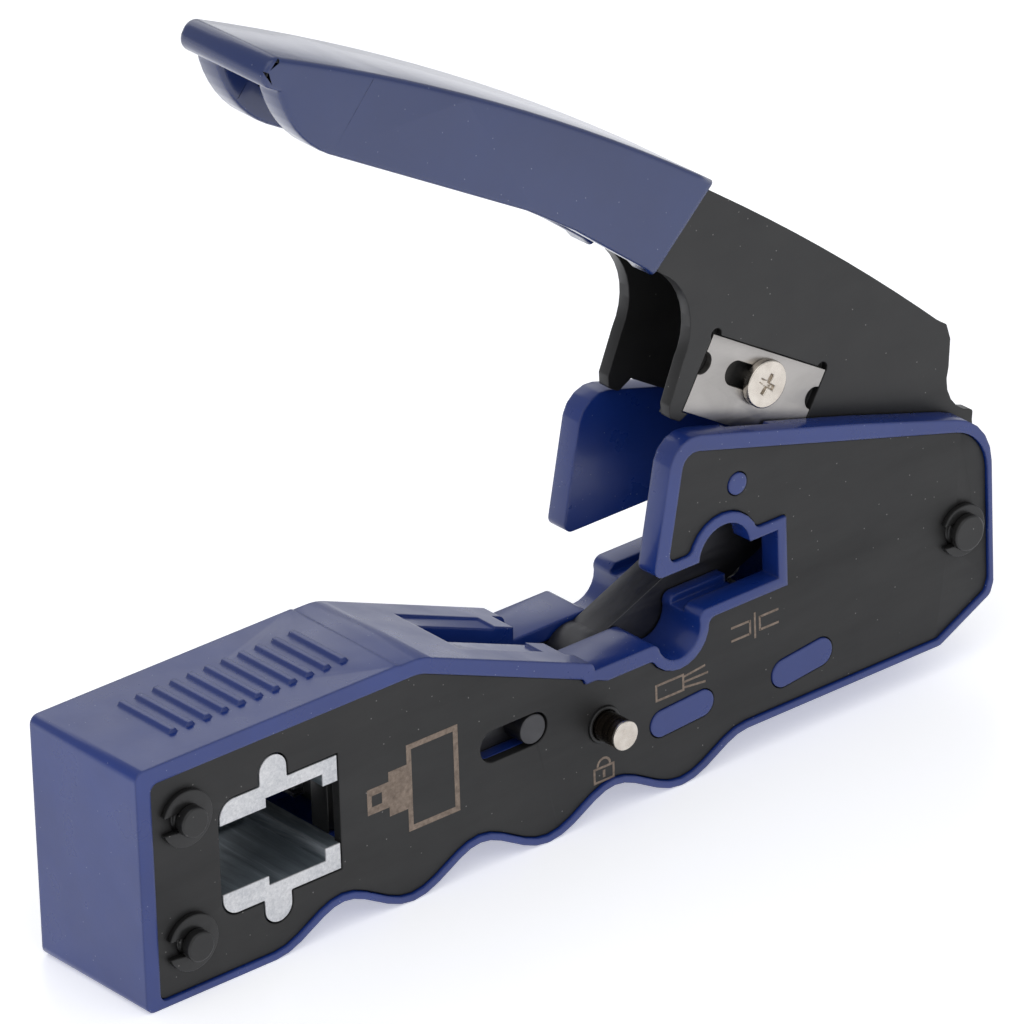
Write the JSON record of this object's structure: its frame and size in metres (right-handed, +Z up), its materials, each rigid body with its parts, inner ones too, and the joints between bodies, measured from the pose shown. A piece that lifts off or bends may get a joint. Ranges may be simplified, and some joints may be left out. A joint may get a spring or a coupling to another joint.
{
  "type": "modular plug crimping tool",
  "caption": "Hand crimping tool with a hinged lever handle, a plug nest with a toggle-driven ram, cut and strip notches and a lock pin.",
  "frame": {"origin": "middle of the flat foot under the die, on its bottom face, midway through the tool's thickness", "axes": "+X along the body from the die end to the handle pivot, +Y through the thickness towards the face without the lock pin, +Z up from the foot"},
  "size_m": [0.1375, 0.0262, 0.1166],
  "materials": {
    "blue_plastic": "gloss",
    "black_steel": "matte",
    "die_cast": "satin",
    "dark_steel": "satin",
    "bright_steel": "satin",
    "nickel": "polished",
    "black_oxide": "satin",
    "bronze": "satin",
    "blue_vinyl": "gloss",
    "spring_steel": "satin"
  },
  "bodies": {
    "frame": {"housing": "blue_plastic", "front_plate": "black_steel", "rear_plate": "black_steel", "die_block": "die_cast", "pivot_pin": "black_oxide", "pivot_clips": "black_oxide", "frame_pins": "black_oxide", "frame_pin_clips": "black_oxide", "lock_bush": "black_oxide", "return_spring": "spring_steel"},
    "ram": {"ram": "dark_steel", "strain_punch": "bright_steel", "contact_punch": "bright_steel", "punch_dowels": "bright_steel", "wire_trim_blade": "bright_steel", "trim_blade_screws": "black_oxide", "ram_cross_pin": "dark_steel", "toggle_front_pin": "dark_steel"},
    "link": {"toggle_link": "dark_steel"},
    "handle": {"handle_frame": "black_steel", "handle_grip": "blue_vinyl", "strip_blade": "bright_steel", "blade_screw": "nickel", "toggle_rear_pin": "dark_steel", "toggle_spacers": "bronze", "pivot_sleeve": "bronze"},
    "lock": {"lock_pin": "nickel", "lock_ring": "spring_steel"}
  },
  "joints": [
    {"name": "handle_hinge", "type": "hinge", "parent": "frame", "child": "handle", "pos_m": [0.1209, 0, 0.019], "axis": [0, -1, 0], "range_deg": [0, 31.5], "stiffness_Nm_per_rad": 0.2, "springref_deg": -34.38},
    {"name": "ram_slide", "type": "slide", "parent": "frame", "child": "ram", "axis": [-1, 0, 0], "range_m": [0, 0.00594]},
    {"name": "toggle_swing", "type": "hinge", "parent": "ram", "child": "link", "pos_m": [0.067, 0, 0.0162], "axis": [0, 1, 0], "range_deg": [0, 18.08], "deforming": ["return_spring"]},
    {"name": "lock_slide", "type": "slide", "parent": "frame", "child": "lock", "axis": [0, 1, 0], "range_m": [0, 0.0022]}
  ],
  "couplings": [
    {"joint": "ram_slide", "follows": "handle_hinge", "m_per_rad": 0.010792},
    {"joint": "toggle_swing", "follows": "handle_hinge", "ratio": 0.57403}
  ]
}
